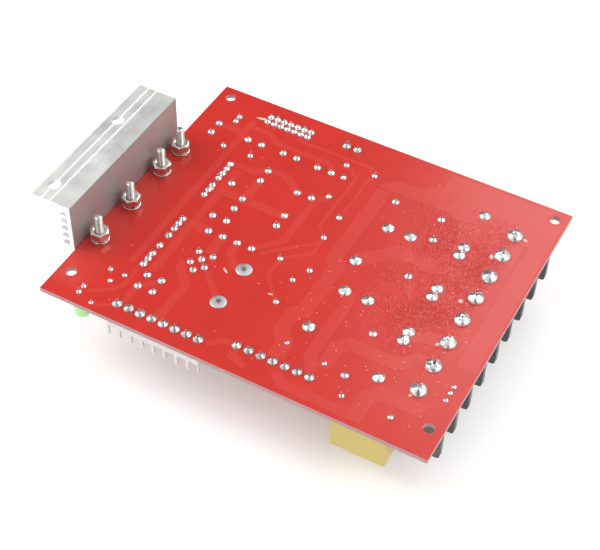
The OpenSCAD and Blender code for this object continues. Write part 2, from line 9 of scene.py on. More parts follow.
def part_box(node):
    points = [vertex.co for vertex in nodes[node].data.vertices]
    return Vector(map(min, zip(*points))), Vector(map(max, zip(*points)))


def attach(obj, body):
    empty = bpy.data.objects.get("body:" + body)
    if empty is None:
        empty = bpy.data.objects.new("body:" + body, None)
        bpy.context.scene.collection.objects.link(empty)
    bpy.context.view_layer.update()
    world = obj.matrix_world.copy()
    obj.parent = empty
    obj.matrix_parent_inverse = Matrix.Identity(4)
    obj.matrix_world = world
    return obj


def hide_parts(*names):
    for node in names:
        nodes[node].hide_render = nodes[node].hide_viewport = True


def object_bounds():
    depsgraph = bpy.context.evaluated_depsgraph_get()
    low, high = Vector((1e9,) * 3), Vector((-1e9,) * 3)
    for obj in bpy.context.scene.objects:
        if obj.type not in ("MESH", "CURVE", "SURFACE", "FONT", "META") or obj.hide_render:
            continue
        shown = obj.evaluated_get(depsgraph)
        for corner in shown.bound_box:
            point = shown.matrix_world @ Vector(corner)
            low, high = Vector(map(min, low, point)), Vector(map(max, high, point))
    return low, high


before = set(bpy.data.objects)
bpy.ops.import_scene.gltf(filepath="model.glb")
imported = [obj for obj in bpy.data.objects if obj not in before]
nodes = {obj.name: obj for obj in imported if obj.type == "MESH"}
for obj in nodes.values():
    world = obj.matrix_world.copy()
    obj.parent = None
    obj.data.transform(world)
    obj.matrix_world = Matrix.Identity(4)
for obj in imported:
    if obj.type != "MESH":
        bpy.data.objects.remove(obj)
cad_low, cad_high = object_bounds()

MM = 0.001
scene = bpy.context.scene


def add_object(name, data):
    made = bpy.data.objects.new(name, data)
    scene.collection.objects.link(made)
    return made



# --------------------
# The view: a camera that looks down on the solder side from the front right.

camera = add_object("camera", bpy.data.cameras.new("camera"))
scene.camera = camera
camera.data.lens = 83.38
camera.data.shift_x = -0.0371
camera.data.shift_y = 0.0275
camera.data.clip_start = 0.01
view_turn = math.radians(-26.08)
view_drop = math.radians(47.56)
view_roll = math.radians(2.76)
look = Vector((math.sin(view_turn) * math.cos(view_drop), math.cos(view_turn) * math.cos(view_drop),
               -math.sin(view_drop)))
turned = look.to_track_quat("-Z", "Y").to_matrix() @ Matrix.Rotation(view_roll, 3, "Z")
camera.matrix_world = Matrix.Translation((0.1327, -0.2675, 0.3055)) @ turned.to_4x4()
scene.view_settings.view_transform = "Standard"

# --------------------
# The circuit board: a 1.6 mm glass-epoxy sheet under a glossy red solder mask. Its cut
# edges show pale, red-tinted laminate. It carries every other piece of the module.

board_low, board_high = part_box("board")
SOLDER_FACE = board_high.z
PART_FACE = board_low.z


def on_board(x, y, z=0.0):
    """A place in millimetres from the board's front left corner, and above its solder side."""
    return Vector((board_low.x + x * MM, board_low.y + y * MM, SOLDER_FACE + z * MM))


class Value:
    """A number that runs through a finish's nodes, on which arithmetic works."""

    def __init__(self, finish, socket):
        self.finish, self.socket = finish, socket

    def math(self, operation, *others):
        return self.finish.node("Math", {"operation": operation}, dict(enumerate((self, *others))))

    def __add__(self, other):
        return self.math("ADD", other)

    def __sub__(self, other):
        return self.math("SUBTRACT", other)

    def __rsub__(self, other):
        return self.finish.node("Math", {"operation": "SUBTRACT"}, {0: other, 1: self})

    def __mul__(self, other):
        return self.math("MULTIPLY", other)

    def __gt__(self, other):
        return self.math("GREATER_THAN", other)

    def __lt__(self, other):
        return self.math("LESS_THAN", other)

    __radd__ = __add__


class Finish:
    """A material on a Principled shader, with its own values set and its other nodes added one by one."""

    def __init__(self, name, color, roughness, metallic=0.0, **sockets):
        self.material = bpy.data.materials.new(name)
        self.material.use_nodes = True
        self.tree = self.material.node_tree
        self.shader = self.tree.nodes["Principled BSDF"]
        self.shader.inputs["Base Color"].default_value = (*color, 1.0)
        self.shader.inputs["Roughness"].default_value = roughness
        self.shader.inputs["Metallic"].default_value = metallic
        for socket, value in sockets.items():
            self.shader.inputs[socket.replace("_", " ")].default_value = value
        self.material.diffuse_color = (*color, 1.0)

    def node(self, kind, settings=None, sockets=None, out=0):
        """Adds a node, sets its settings and stops, joins or fills its sockets, and gives an output."""
        made = self.tree.nodes.new("ShaderNode" + kind)
        for name, value in (settings or {}).items():
            if name == "stops":
                while len(made.color_ramp.elements) < len(value):
                    made.color_ramp.elements.new(1.0)
                for element, (place, color) in zip(made.color_ramp.elements, value):
                    element.position = place
                    element.color = (*color, 1.0) if len(color) == 3 else color
            else:
                setattr(made, name, value)
        for socket, value in (sockets or {}).items():
            if isinstance(value, Value):
                self.tree.links.new(value.socket, made.inputs[socket])
            else:
                made.inputs[socket].default_value = value
        return Value(self, made.outputs[out])

    def feed(self, socket, value):
        self.tree.links.new(value.socket, self.shader.inputs[socket])

    def fed(self, socket):
        """What feeds a socket of the shader already."""
        return Value(self, self.shader.inputs[socket].links[0].from_socket)

    def place(self, scale=(1000, 1000, 1000)):
        """Object coordinates, in millimetres unless scaled otherwise."""
        spot = self.node("TexCoord", out=3)
        return self.node("Mapping", {"vector_type": "POINT"}, {"Vector": spot, "Scale": scale})

    def axis(self, spot, name):
        return self.node("SeparateXYZ", sockets={0: spot}, out="XYZ".index(name))

    def speckle(self, spot, scale, detail=3.0, roughness=0.55, distortion=0.0):
        return self.node("TexNoise", sockets={"Vector": spot, "Scale": scale, "Detail": detail,
                                              "Roughness": roughness, "Distortion": distortion})

    def range(self, value, low, high, to_low=0.0, to_high=1.0):
        return self.node("MapRange", {"clamp": True}, {"Value": value, "From Min": low, "From Max": high,
                                                       "To Min": to_low, "To Max": to_high})

    def blend(self, factor, first, second):
        """One colour running into another."""
        ends = {0: factor}
        for socket, color in ((6, first), (7, second)):
            ends[socket] = color if isinstance(color, Value) else (*color, 1.0)
        return self.node("Mix", {"data_type": "RGBA"}, ends, out=2)

    def bump(self, height, depth_mm, strength=1.0):
        self.feed("Normal", self.node("Bump", sockets={"Strength": strength, "Distance": depth_mm * MM,
                                                       "Height": height}))

    def mottle(self, scale, detail, dark, light, gloss=None, depth_mm=0.0):
        """One cloud that sways the colour and, where they are given, the roughness and the relief."""
        cloud = self.speckle(self.place(), scale, detail)
        self.feed("Base Color", self.blend(cloud, dark, light))
        if gloss:
            self.feed("Roughness", self.range(cloud, 0.3, 0.7, *gloss))
        if depth_mm:
            self.bump(cloud, depth_mm)


def solder_mask(name, color, deep, relief=1.0):
    """Glossy printed mask: the colour wanders slightly, and the skin is gently uneven.
    Over the wide copper near the barrier terminal the skin has puckered in the solder bath."""
    finish = Finish(name, color, 0.16)
    spot = finish.place()
    drift = finish.speckle(spot, 0.05, 4.0)
    fine = finish.speckle(spot, 1.6, 2.0)
    tone = finish.range(drift * 0.8 + fine * 0.2, 0.35, 0.65)
    painted = finish.blend(tone, deep, color)
    finish.feed("Roughness", finish.range(fine, 0.3, 0.7, 0.17, 0.26))
    across = finish.axis(spot, "X")
    along = finish.axis(spot, "Y")
    zone = finish.range(across, 16, 34) * finish.range(along, -30, -12) * (1.0 - finish.range(along, 30, 42))
    zone = zone * (1.0 - finish.range(across, 51, 54))
    zone = zone * finish.range(finish.speckle(spot, 0.07, 2.0), 0.36, 0.56, 0.25, 1.0)
    wave = finish.speckle(spot, 0.12, 2.0, 0.5)
    peel = finish.speckle(spot, 0.62, 1.0, 0.5, 1.2)
    ridges = 1.0 - (finish.range(peel, 0.5, 0.62) + (1.0 - finish.range(peel, 0.38, 0.5)))
    height = wave * (0.3 * relief) + fine * 0.04 + (peel * 1.8 + ridges * 0.5) * zone
    finish.bump(height, 0.10)
    # Painted shade: the creases of the puckered skin are drawn in a darker red.
    finish.feed("Base Color", finish.blend(ridges * zone * 0.5, painted, [c * 0.65 for c in deep]))
    return finish


board_finish = solder_mask("red_solder_mask", (0.62, 0.030, 0.020), (0.57, 0.024, 0.016))
level = board_finish.axis(board_finish.place(), "Z")
cut_edge = (level > PART_FACE / MM + 0.03) * (level < SOLDER_FACE / MM - 0.03)
laminate = (0.50, 0.29, 0.30)
board_finish.feed("Base Color", board_finish.blend(cut_edge, board_finish.fed("Base Color"), laminate))
board_finish.feed("Roughness", cut_edge * 0.4 + board_finish.fed("Roughness"))


def wear(node, finish):
    """A CAD node keeps its shape and takes a finish."""
    data = nodes[node].data
    data.materials.clear()
    data.materials.append(finish.material)


wear("board", board_finish)

# --------------------
# The copper tracks: 70 micron copper under the same mask, which stands a little proud and
# looks lighter over the metal. Each is a flat strip with mitred corners and soft edges.


MERGE = 0.002 * MM  # corners of a CAD mesh nearer than this are one corner
SUNK = 0.02  # how deep, in millimetres, a flat strip starts inside the board


def finish_piece(maker, name, finish, node=None, body="board_assembly", smooth_deg=50.0, others=()):
    """Turns a bmesh into a piece at the origin: smooth faces, sharp where it turns hard, and wide
    flat faces kept flat up to their rounded edges. It stands for a CAD node where one is named."""
    for face in maker.faces:
        face.smooth = True
    for edge in maker.edges:
        if len(edge.link_faces) == 2 and edge.calc_face_angle(0.0) > math.radians(smooth_deg):
            edge.smooth = False
    mesh = bpy.data.meshes.new(name)
    maker.to_mesh(mesh)
    maker.free()
    piece = add_object(name, mesh)
    for each in (finish, *others):
        mesh.materials.append(each.material)
    crisp = piece.modifiers.new("crisp_faces", "WEIGHTED_NORMAL")
    crisp.keep_sharp = True
    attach(piece, body)
    if node:
        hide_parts(node)


def shift(maker, step, verts):
    bmesh.ops.translate(maker, vec=step, verts=verts)


def swing(maker, angle, verts, axis="Z"):
    """Turns points round an axis through the origin."""
    bmesh.ops.rotate(maker, cent=(0, 0, 0), matrix=Matrix.Rotation(angle, 3, axis), verts=verts)


def outward(maker):
    """Makes every face look outwards."""
    bmesh.ops.recalc_face_normals(maker, faces=maker.faces[:])


def round_edges(maker, edges, offset, segments=2, clamp=False):
    bmesh.ops.bevel(maker, geom=list(edges), offset=offset, segments=segments, profile=0.5, affect="EDGES",
                    clamp_overlap=clamp, material=-1)


def bar(maker, sides, spot, angle=0.0):
    """A small block with the given sides, turned and then put in its place."""
    verts = bmesh.ops.create_cube(maker, size=1.0)["verts"]
    bmesh.ops.scale(maker, vec=sides, verts=verts)
    swing(maker, angle, verts)
    shift(maker, spot, verts)
    return verts


def gather(maker, part):
    """Adds a made part to a group of like ones in one mesh."""
    mesh = bpy.data.meshes.new("part")
    part.to_mesh(mesh)
    part.free()
    maker.from_mesh(mesh)
    bpy.data.meshes.remove(mesh)


def raise_face(maker, face, height, soften):
    """Lifts a flat face off the board by its thickness, and rounds the edge of its upper side."""
    lifted = bmesh.ops.extrude_face_region(maker, geom=[face])["geom"]
    shift(maker, (0, 0, height), [v for v in lifted if isinstance(v, bmesh.types.BMVert)])
    top = [f for f in lifted if isinstance(f, bmesh.types.BMFace)][0]
    round_edges(maker, top.edges, soften)


def track(maker, points, width, height):
    """A strip along a line of board places, with mitred corners."""
    line = [on_board(x, y, -SUNK) for x, y in points]
    left, right = [], []
    for i, spot in enumerate(line):
        before = (spot - line[i - 1]).normalized() if i > 0 else (line[1] - spot).normalized()
        after = (line[i + 1] - spot).normalized() if i < len(line) - 1 else before
        lean = (before + after).normalized()
        side = Vector((-lean.y, lean.x, 0)) * (width * MM / 2 / max(0.5, lean.dot(before)))
        left.append(maker.verts.new(spot + side))
        right.append(maker.verts.new(spot - side))
    face = maker.faces.new(right + left[::-1])
    raise_face(maker, face, (SUNK + height) * MM, 0.05 * MM)


TRACKS = [
    (5.0, [(70, 88.5), (70, 54), (72.5, 51.5), (72.5, 31), (70, 28.5), (70, 21.5), (73.5, 17), (73.5, 11)]),
    (5.4, [(76.5, 57), (86.5, 66.3), (107.8, 66.3), (114.5, 60.5)]),
    (3.8, [(79, 43.6), (81.9, 41.5), (81.9, 16.5), (85.8, 11)]),
    (4.8, [(114.5, 30.8), (110, 30.8), (105, 25.9), (90, 25.9), (87.2, 23), (87.2, 14.5)]),
    (5.2, [(119.5, 14.2), (106, 14.2), (103, 11), (103, 1.8)]),
    (3.4, [(100.2, 3.3), (80, 3.3), (76.5, 6.5)]),
    (5.0, [(103, 56.5), (108, 54.6), (114.5, 51)]),
    (5.0, [(103, 37), (108, 39), (114.5, 40.5)]),
    (1.0, [(91.4, 85.8), (93, 83.8), (93, 76.5)]),
    (2.2, [(17.3, 97), (17.3, 22.5)]),
    (2.0, [(18.6, 94), (25.5, 94), (29, 91), (49, 91), (51.5, 88)]),
    (1.2, [(34, 96), (61, 96), (64, 93.2)]),
    (0.9, [(64, 92), (63.4, 90), (63.4, 71)]),
    (1.1, [(54.5, 93), (57, 91.6), (59.6, 89), (59.6, 64), (63, 60.5)]),
    (2.5, [(22.5, 75.4), (29.5, 75.4), (33, 78.6), (40.5, 78.6), (46, 74)]),
    (2.8, [(24.9, 73.5), (24.9, 22)]),
    (3.2, [(26.4, 62.5), (48, 62.5)]),
    (3.2, [(33.3, 72.5), (33.3, 64.2)]),
    (2.3, [(56, 77), (53.1, 73), (53.1, 53), (46.7, 45.6)]),
    (1.4, [(63.2, 60), (63.2, 57), (60.5, 55.2), (49.2, 44.4)]),
    (1.2, [(63.6, 56), (63.6, 52.6), (56, 46)]),
    (1.3, [(56, 46), (56, 38.6), (58, 35.4), (63, 30.2)]),
    (3.4, [(36, 44.5), (36, 37)]),
    (2.6, [(41.4, 44.5), (41.4, 40.6), (45.2, 36.2), (48.6, 36.2)]),
    (2.0, [(38.5, 31), (46, 23.6), (48.6, 21.4)]),
    (2.8, [(31.2, 30.5), (31.2, 28), (36.6, 22.2), (36.6, 6.5)]),
    (1.3, [(20.8, 20.5), (20.8, 13), (18.5, 9.6), (13, 6.2)]),
    (2.0, [(29.5, 19.5), (24.6, 14.5), (24.6, 7)]),
    (2.4, [(8, 90), (16, 90)]),
    (4.0, [(26.4, 45), (31, 45)]),
    (2.2, [(61, 9.4), (57.4, 9), (54, 5.6)]),
    (2.2, [(61.8, 9.4), (62.5, 5.5), (68, 3.5)]),
    (1.4, [(23.5, 5.9), (20, 3.2), (16.5, 2.4)]),
]
HOLE_X, HOLE_Y, HOLE_MARGIN = 122.75, 103.5, 2.4
HOLE_EDGE = [(HOLE_X + HOLE_MARGIN * math.cos(math.radians(turn)),
              HOLE_Y + HOLE_MARGIN * math.sin(math.radians(turn))) for turn in range(120, 346, 15)]
POUR = [(67.5, 89.2), (67.5, 90.5), (71.5, 94.8), (80.5, 95.4), (86, 100), (86, 106.6), (121.55, 106.6),
        *HOLE_EDGE, (126.2, 102.5), (126.2, 33.5), (120.1, 33.5), (120.1, 87.8), (115.2, 87.8), (115, 86.6),
        (119.1, 86.6), (119.1, 77.5), (111.2, 77.5), (110.4, 80.4), (106.4, 83.8), (98.6, 83.9), (92.6, 89.4),
        (72.5, 89.2)]

copper = bmesh.new()
for i, (width, points) in enumerate(TRACKS):
    track(copper, points, width, 0.036 + 0.003 * (i % 5))
pour_face = copper.faces.new([copper.verts.new(on_board(x, y, -SUNK)) for x, y in POUR])
raise_face(copper, pour_face, 0.065 * MM, 0.04 * MM)
outward(copper)
track_finish = solder_mask("mask_over_copper", (0.64, 0.046, 0.035), (0.60, 0.038, 0.028), 0.9)
finish_piece(copper, "copper_tracks", track_finish)

# --------------------
# The solder joints: hand-soldered fillets on tinned pads, each drawn up round a lead that
# was clipped short. The islands of the CAD joints say where each one is and how wide.


def islands(node):
    """Centre, radius, low corner and high corner of each separate solid of a CAD node."""
    maker = bmesh.new()
    maker.from_mesh(nodes[node].data)
    bmesh.ops.remove_doubles(maker, verts=maker.verts[:], dist=MERGE)
    seen, found = set(), []
    for start in maker.verts:
        if start in seen:
            continue
        group, frontier = [start], [start]
        seen.add(start)
        while frontier:
            for link in frontier.pop().link_edges:
                for v in link.verts:
                    if v not in seen:
                        seen.add(v)
                        group.append(v)
                        frontier.append(v)
        low = Vector([min(v.co[k] for v in group) for k in range(3)])
        high = Vector([max(v.co[k] for v in group) for k in range(3)])
        found.append(((low + high) / 2, (high.x - low.x) / 2, low, high))
    maker.free()
    return sorted(found, key=lambda row: (round(row[0].x, 5), round(row[0].y, 5)))


def turned_shape(maker, profile, steps, centre=(0, 0, 0)):
    """Spins a line of (radius, height) points, in metres, round the upright axis."""
    verts = [maker.verts.new((r, 0, z)) for r, z in profile]
    edges = [maker.edges.new(pair) for pair in zip(verts, verts[1:])]
    before = set(maker.verts) - set(verts)
    bmesh.ops.spin(maker, geom=verts + edges, cent=(0, 0, 0), axis=(0, 0, 1), dvec=(0, 0, 0),
                   angle=math.tau, steps=steps, use_merge=True, use_duplicate=False)
    made = [v for v in maker.verts if v not in before]
    bmesh.ops.remove_doubles(maker, verts=made, dist=1e-7)
    made = [v for v in maker.verts if v not in before]
    shift(maker, centre, made)
    return made


def fillet_profile(radius, rise, wire, swell):
    """From the pad's rim, over the swollen shoulder of the solder, up to the lead."""
    points = [(radius * 0.96, 0.0), (radius, 0.05 * MM)]
    for t in (0.06, 0.16, 0.3, 0.45, 0.6, 0.74, 0.87, 1.0):
        out = radius + (wire - radius) * t
        round_top = math.sqrt(1 - (1 - t) ** 2)
        points.append((out, 0.08 * MM + rise * (swell * round_top + (1 - swell) * t ** 1.8)))
    return points


LEAD_SIDES = 10


def solder_joint(maker, centre, radius, rise, wire, tip, draw, swell, blade):
    """A swollen fillet of solder, and the clipped lead that stands out of it, leaning a little."""
    steps = 24 if radius > 1.3 * MM else 16
    made = turned_shape(maker, fillet_profile(radius, rise, wire, swell), steps)
    seed = Vector((centre.x * 900, centre.y * 900, draw.random() * 9))
    for v in made:
        wobble = noise.noise(seed + v.co / MM * 0.8)
        out = Vector((v.co.x, v.co.y, 0))
        inside = 1.0 - out.length / radius
        v.co += out * wobble * 0.12 * min(1.0, inside * 2 + 0.2)
        v.co.z = max(v.co.z + wobble * inside * rise * 0.35, 0)
    lead = bmesh.ops.create_cone(maker, cap_ends=True, cap_tris=False, segments=LEAD_SIDES, radius1=wire,
                                 radius2=wire, depth=1.0 * MM)["verts"]
    lean_towards = Matrix.Rotation(draw.uniform(0, math.tau), 3, "Z")
    lean = lean_towards @ Matrix.Rotation(draw.uniform(0.02, 0.16), 3, "X")
    cut = draw.uniform(-0.35, 0.35)
    base = 0.1 * MM
    length = tip - base
    for v in lead:
        top = v.co.z > 0
        v.co.z = length + v.co.x * cut if top else 0.0
        if blade:
            v.co.y *= blade
        v.co = lean @ v.co + Vector((0, 0, base))
    own = set(lead)
    # The flat top of the lead takes the lead-end finish, which is painted dark as a reflection.
    crown = [f for f in maker.faces if f.verts[0] in own and len(f.verts) == LEAD_SIDES
             and f.calc_center_median().z > base + length / 2]
    for face in crown:
        face.material_index = 1
        round_edges(maker, face.edges, wire * 0.25)


def bright_solder(name, dirt, shade=1.0, frost=0.0):
    """Tin-lead solder, bright with a faint frosted grain, and flux left in patches."""
    finish = Finish(name, (0.86, 0.87, 0.88), 0.16, 1.0)
    spot = finish.place()
    grain = finish.speckle(spot, 2.2, 4.0, 0.6)
    patch = finish.speckle(spot, 0.55, 3.0, 0.6, 0.4)
    stain = finish.range(patch, 0.64 - dirt * 0.22, 0.84 - dirt * 0.22)
    clean = [c * shade for c in (0.90, 0.91, 0.92)]
    finish.feed("Base Color", finish.blend(stain * (0.3 + 0.5 * dirt), clean, (0.36, 0.30, 0.24)))
    finish.feed("Roughness", finish.range(grain, 0.3, 0.75, 0.08 + frost, 0.26 + frost) + stain * 0.2)
    finish.bump(grain, 0.05, 0.8)
    return finish


# Cut tops of the leads: bare metal where each lead was clipped, but painted far darker than that metal is, as
# a painted reflection of the dim room in their flat ends.
cut_end_and_dark_reflection = Finish("lead_end_with_painted_reflection", (0.24, 0.21, 0.19), 0.5, 0.9)
cut_end_and_dark_reflection.mottle(5.0, 3.0, (0.14, 0.12, 0.11), (0.34, 0.30, 0.27), depth_mm=0.04)
dull_solder = bright_solder("dull_solder", 0.3, 0.66, 0.3)
stained_solder = bright_solder("stained_solder", 0.75, 0.8, 0.04)


def joints_of(node, name, finish, shape_of, seed):
    """One piece for all the joints of a CAD node."""
    draw = random.Random(seed)
    maker = bmesh.new()
    for centre, radius, _, high in islands(node):
        part = bmesh.new()
        rise, wire, tip, swell, blade = shape_of(radius / MM, high.z / MM)
        choke_end = 2.2 * MM < radius < 2.45 * MM
        in_plug_row = 1.3 * MM < radius < 1.7 * MM
        radius *= 1.0 if 0.8 * MM < radius < 1.07 * MM or in_plug_row else 1.08
        solder_joint(part, centre, radius, rise * MM, wire * MM, tip * MM, draw, swell, blade)
        swing(part, draw.uniform(0, math.tau), part.verts[:])
        shift(part, (centre.x, centre.y, SOLDER_FACE), part.verts[:])
        outward(part)
        for face in part.faces:
            if face.material_index == 0 and (choke_end or in_plug_row):
                face.material_index = 2 if choke_end else 3
        gather(maker, part)
    finish_piece(maker, name, finish, node, smooth_deg=40,
                 others=(cut_end_and_dark_reflection, dull_solder, stained_solder))


def signal_shape(radius, top):
    """Rise of the fillet, radius of the lead, its tip, the swell and how flat the lead is."""
    if radius < 0.8:
        return 0.3, 0.2, 0.4, 0.9, 0.0
    if radius < 1.07:
        return 0.75, 0.3, top, 0.6, 0.0
    return 0.9, 0.42, top - 0.1, 0.62, 0.0


def power_shape(radius, top):
    """The same five values for the larger joints."""
    if radius > 2.45:
        return 1.6, 0.5, 3.4, 0.85, 0.6
    if radius > 2.2:
        return 0.28, 0.85, 0.55, 0.9, 0.0
    if radius > 1.7:
        return (0.5, 0.42, 0.66, 0.85, 0.0) if top < 1.2 else (0.9, 0.32, 2.1, 0.75, 0.0)
    return radius * 0.66, 0.42, max(1.5, top), 0.45, 0.0


joints_of("signal_solder_joints", "signal_joints", bright_solder("bright_solder", 0.15), signal_shape, 11)
joints_of("power_solder_joints", "power_joints", bright_solder("fluxed_solder", 0.45), power_shape, 12)

# --------------------
# What the soldering left: dried flux in pale smears beside some joints, and specks of it, all
# thin and clear enough for the red to show through.

flux = bmesh.new()
draw = random.Random(5)
smears = [(19.1, 99.3, 4.2, 1.1, 10), (44.0, 33.2, 2.6, 0.7, -35), (111.6, 78.6, 1.2, 1.8, 30),
          (110.9, 57.2, 1.3, 1.5, 20), (112.0, 38.4, 1.1, 1.0, 60), (113.2, 17.6, 0.9, 0.8, 0),
          (60.5, 31.5, 1.6, 0.6, 15), (118.0, 90.4, 1.5, 0.9, -20), (22.0, 61.5, 1.2, 2.0, 0)]
for _ in range(150):
    near = draw.random() < 0.6
    smears.append((draw.uniform(70, 122) if near else draw.uniform(6, 120),
                   draw.uniform(6, 60) if near else draw.uniform(6, 102),
                   draw.uniform(0.18, 0.5), draw.uniform(0.16, 0.36), draw.uniform(0, 180)))
for x, y, long, wide, turn in smears:
    blob = bmesh.ops.create_icosphere(flux, subdivisions=2 if long > 0.5 else 1, radius=0.5)["verts"]
    seed = Vector((x, y, 0))
    for v in blob:
        v.co *= 1.0 + 0.5 * noise.noise(seed + v.co * 3.0)
    bmesh.ops.scale(flux, vec=(long * MM, wide * MM, 0.09 * MM), verts=blob)
    swing(flux, math.radians(turn), blob)
    shift(flux, on_board(x, y, 0.05), blob)
outward(flux)
dried_flux = Finish("dried_flux", (0.86, 0.50, 0.44), 0.3)
dried_flux.mottle(1.8, 3.0, (0.84, 0.42, 0.34), (0.95, 0.74, 0.66), (0.2, 0.45))
finish_piece(flux, "flux_residue", dried_flux, smooth_deg=70)

# --------------------
# The heatsink bracket: one length of extruded aluminium, sawn off, with its foot under the
# board, an upright plate, ribs on its back and a flange with two drilled holes.


def worked_copy(node, name, finish, edge_mm, segments=2, body="board_assembly", angle=28):
    """A merged copy of a CAD node with its sharp edges broken, which stands for the node."""
    maker = bmesh.new()
    maker.from_mesh(nodes[node].data)
    bmesh.ops.remove_doubles(maker, verts=maker.verts[:], dist=MERGE)
    bmesh.ops.dissolve_limit(maker, angle_limit=math.radians(1), use_dissolve_boundaries=False,
                             verts=maker.verts[:], edges=maker.edges[:], delimit={"NORMAL"})
    hard = [e for e in maker.edges if len(e.link_faces) == 2 and e.calc_face_angle(0.0) > math.radians(angle)]
    round_edges(maker, hard, edge_mm * MM, segments, clamp=True)
    finish_piece(maker, name, finish, node, body)


def extruded_aluminium():
    finish = Finish("extruded_aluminium", (0.80, 0.80, 0.79), 0.45, 1.0)
    spot = finish.place(scale=(1000, 30, 1000))
    lines = finish.speckle(spot, 4.0, 4.0, 0.6)
    cloud = finish.speckle(finish.place(), 0.10, 4.0, 0.6)
    across, up = finish.axis(finish.place(), "X"), finish.axis(finish.place(), "Z")
    # Painted shade: the parts of the bracket that stand over the board, the plate's inner face and the foot,
    # are drawn in a darker grey than the rest of the metal, and made rougher.
    inside = (across > board_low.x / MM - 0.4) * (up > 0.3)
    unshaded_aluminium = finish.blend(cloud, (0.82, 0.82, 0.80), (0.94, 0.94, 0.92))
    finish.feed("Base Color", finish.blend(inside * (0.45 + cloud * 0.5), unshaded_aluminium, (0.42, 0.46, 0.46)))
    finish.feed("Roughness", finish.range(lines * 0.4 + cloud * 0.6, 0.35, 0.65, 0.38, 0.56) + inside * 0.16)
    finish.bump(lines, 0.02, 0.6)
    return finish


worked_copy("heatsink_bracket", "heatsink_extrusion", extruded_aluminium(), 0.25, 3)

# --------------------
# The clamp bolts with their washers and nuts: nickel-plated M3 bolts pushed up through the
# transistors, the foot and the board, and tightened from the solder side.

bolt_low, bolt_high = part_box("clamp_bolts")
washer_low, washer_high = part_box("flat_washers")
spring_low, spring_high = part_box("spring_washers")
nut_low, nut_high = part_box("hex_nuts")
bolt_places = [centre for centre, _, _, _ in islands("flat_washers")]


def plated_metal(name, color, rough):
    finish = Finish(name, color, rough, 1.0)
    spot = finish.place()
    grain = finish.speckle(spot, 1.8, 4.0, 0.65)
    finish.feed("Base Color", finish.blend(grain, [c * 0.86 for c in color], color))
    finish.feed("Roughness", finish.range(grain, 0.3, 0.7, rough * 0.7, rough * 1.4))
    finish.bump(grain, 0.02, 0.6)
    return finish


def threaded_rod(root, crest, pitch, low, high, steps=18):
    """A helical thread between two heights, closed at both ends by plain tapers."""
    maker = bmesh.new()
    profile = [(root, 0.0), (crest, pitch * 0.42), (crest, pitch * 0.58), (root, pitch)]
    verts = [maker.verts.new((r, 0, low + z)) for r, z in profile]
    edges = [maker.edges.new(pair) for pair in zip(verts, verts[1:])]
    turns = int((high - low) / pitch) - 1
    bmesh.ops.spin(maker, geom=verts + edges, cent=(0, 0, 0), axis=(0, 0, 1), dvec=(0, 0, pitch / steps),
                   angle=math.tau * turns, steps=steps * turns, use_merge=False, use_duplicate=False)
    bmesh.ops.remove_doubles(maker, verts=maker.verts[:], dist=1e-6)
    core = [(0.0, low), (root, low), (root, high - 0.2 * MM), (root * 0.75, high), (0.0, high)]
    turned_shape(maker, core, steps)
    outward(maker)
    return maker


def pan_head(radius, low, high, steps=32):
    """A low domed head with a dished middle, its top facing down."""
    maker = bmesh.new()
    deep = high - low
    profile = [(0.0, low + deep * 0.45), (radius * 0.2, low + deep * 0.45), (radius * 0.24, low),
               (radius * 0.75, low), (radius * 0.93, low + deep * 0.14), (radius, low + deep * 0.4),
               (radius, high), (0.0, high)]
    turned_shape(maker, profile, steps)
    outward(maker)
    return maker


def hexagon_nut(flat, low, high, bore, steps=48):
    """A chamfered hexagon: the corners of both faces run down where the cone cuts them."""
    maker = bmesh.new()
    rise = 0.55
    profile = [(bore * 1.18, high), (flat * 0.93, high), (flat, high), (flat, low), (flat * 0.93, low),
               (bore * 1.18, low), (bore, low + 0.2 * MM), (bore, high - 0.2 * MM), (bore * 1.18, high)]
    turned_shape(maker, profile, steps)
    for v in maker.verts:
        out = Vector((v.co.x, v.co.y))
        if out.length > flat * 0.99:
            turn = math.atan2(out.y, out.x)
            corner = flat / math.cos((turn % (math.pi / 3)) - math.pi / 6)
            drop = (corner - flat * 0.93) * rise
            v.co.x, v.co.y = math.cos(turn) * corner, math.sin(turn) * corner
            v.co.z += -drop if v.co.z > (low + high) / 2 else drop
    outward(maker)
    return maker


def split_ring(inner, outer, low, high, spring):
    """A spring washer: a square wire wound through one turn, its cut ends standing apart."""
    maker = bmesh.new()
    deep = high - low - spring
    corners = [(inner, 0), (outer, 0), (outer, deep), (inner, deep)]
    face = maker.faces.new([maker.verts.new((r, 0, low + z)) for r, z in corners])
    steps = 30
    bmesh.ops.spin(maker, geom=[face, *face.edges, *face.verts], cent=(0, 0, 0), axis=(0, 0, 1),
                   dvec=(0, 0, spring / steps), angle=math.radians(346), steps=steps, use_merge=False,
                   use_duplicate=False)
    bmesh.ops.remove_doubles(maker, verts=maker.verts[:], dist=1e-7)
    hard = [e for e in maker.edges if e.calc_face_angle(0.0) > math.radians(60)]
    round_edges(maker, hard, 0.06 * MM)
    outward(maker)
    return maker


def flat_ring(inner, outer, low, high, soft=0.08 * MM):
    maker = bmesh.new()
    profile = [(inner, low), (outer - soft, low), (outer, low + soft), (outer, high - soft),
               (outer - soft, high), (inner + soft, high), (inner, high - soft), (inner, low)]
    turned_shape(maker, profile, 40)
    outward(maker)
    return maker


def at_bolts(makes, name, finish, node, turns=(0, 0, 0, 0)):
    """The same small part at each bolt, turned as it was left."""
    whole = bmesh.new()
    for spot, turn in zip(bolt_places, turns):
        for part in makes():
            swing(part, math.radians(turn), part.verts[:])
            shift(part, (spot.x, spot.y, 0), part.verts[:])
            gather(whole, part)
    finish_piece(whole, name, finish, node)


